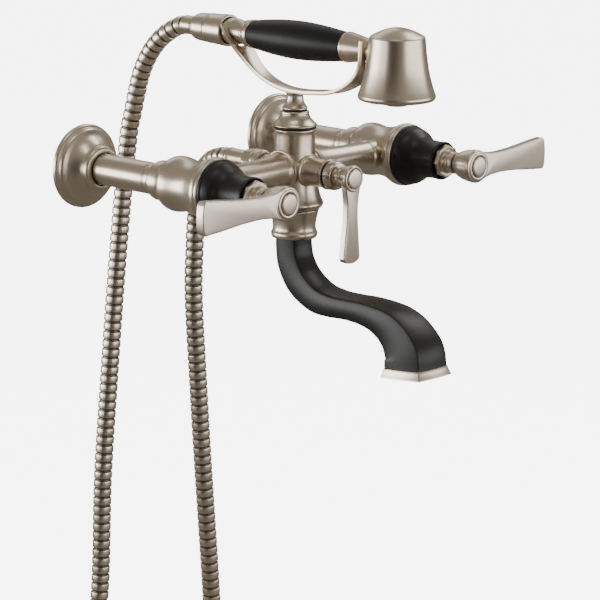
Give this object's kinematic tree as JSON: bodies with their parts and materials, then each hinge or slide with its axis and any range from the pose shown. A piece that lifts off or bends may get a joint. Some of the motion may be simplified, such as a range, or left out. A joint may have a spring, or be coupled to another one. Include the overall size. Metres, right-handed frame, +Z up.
{
  "type": "wall mounted bath faucet",
  "caption": "Wall mounted bath faucet in satin nickel and black, with lever handles, a curved square spout, a diverter lever and a hand shower on a forked cradle.",
  "frame": {"origin": "on the wall plane, midway between the two wall inlets, at the height of their axes", "axes": "+X right along the bridge as seen from the room, +Y into the wall, +Z up; the faucet stands out of the wall toward -Y"},
  "size_m": [0.3644, 0.3155, 0.738],
  "materials": {
    "satin_nickel": "fine brushed, warm satin nickel plate",
    "nickel_hose": "satin interlocked metal hose",
    "black_enamel": "satin black coating",
    "black_grip": "satin black",
    "raw_brass": "machined",
    "black_rubber": "matte",
    "white_plastic": "matte"
  },
  "bodies": {
    "faucet": {"aerator": "white_plastic", "column_body": "satin_nickel", "column_o_ring": "black_rubber", "cradle": "satin_nickel", "cradle_base": "satin_nickel", "cradle_stem": "satin_nickel", "cradle_washer": "black_rubber", "diverter_cartridge": "raw_brass", "diverter_nut": "satin_nickel", "diverter_ring": "black_rubber", "hose": "nickel_hose", "hose_ferrule_outlet": "satin_nickel", "left_bonnet": "black_enamel", "left_bonnet_nut": "satin_nickel", "left_bridge": "satin_nickel", "left_cartridge": "raw_brass", "left_inlet_tube": "satin_nickel", "left_supply_nipple": "raw_brass", "left_union_nut": "satin_nickel", "left_valve_body": "satin_nickel", "left_wall_flange": "satin_nickel", "outlet_nut": "satin_nickel", "outlet_stub": "satin_nickel", "right_bonnet": "black_enamel", "right_bonnet_nut": "satin_nickel", "right_bridge": "satin_nickel", "right_cartridge": "raw_brass", "right_inlet_tube": "satin_nickel", "right_supply_nipple": "raw_brass", "right_union_nut": "satin_nickel", "right_valve_body": "satin_nickel", "right_wall_flange": "satin_nickel", "spout": "black_enamel", "spout_collar": "satin_nickel", "spout_tip": "satin_nickel"},
    "left_handle": {"left_lever": "satin_nickel", "left_lever_button": "satin_nickel", "left_lever_screw": "raw_brass", "left_stem": "satin_nickel"},
    "right_handle": {"right_lever": "satin_nickel", "right_lever_button": "satin_nickel", "right_lever_screw": "raw_brass", "right_stem": "satin_nickel"},
    "diverter_handle": {"diverter_lever": "satin_nickel", "diverter_button": "satin_nickel", "diverter_screw": "raw_brass", "diverter_stem": "satin_nickel"},
    "hand_shower": {"hose_sleeve": "satin_nickel", "hose_nut_rear": "satin_nickel", "hose_nut_front": "satin_nickel", "hose_washer": "black_rubber", "handset_neck": "satin_nickel", "grip": "black_grip", "handset_tube": "raw_brass", "grip_ferrule": "satin_nickel", "bell": "satin_nickel", "bell_cap": "satin_nickel", "spray_plate": "white_plastic", "spray_boss": "satin_nickel"}
  },
  "joints": [
    {"name": "left_lever_turn", "type": "hinge", "parent": "faucet", "child": "left_handle", "pos_m": [-0.1015, -0.2, 0], "axis": [0, 1, 0], "range_deg": [0, 90]},
    {"name": "right_lever_turn", "type": "hinge", "parent": "faucet", "child": "right_handle", "pos_m": [0.1015, -0.2, 0], "axis": [0, -1, 0], "range_deg": [0, 90]},
    {"name": "diverter_turn", "type": "hinge", "parent": "faucet", "child": "diverter_handle", "pos_m": [0, -0.17, 0], "axis": [0, -1, 0], "range_deg": [0, 90]},
    {"name": "handset_lift", "type": "slide", "parent": "faucet", "child": "hand_shower", "axis": [0, -0.1483, 0.9889], "range_m": [0, 0.05]}
  ]
}
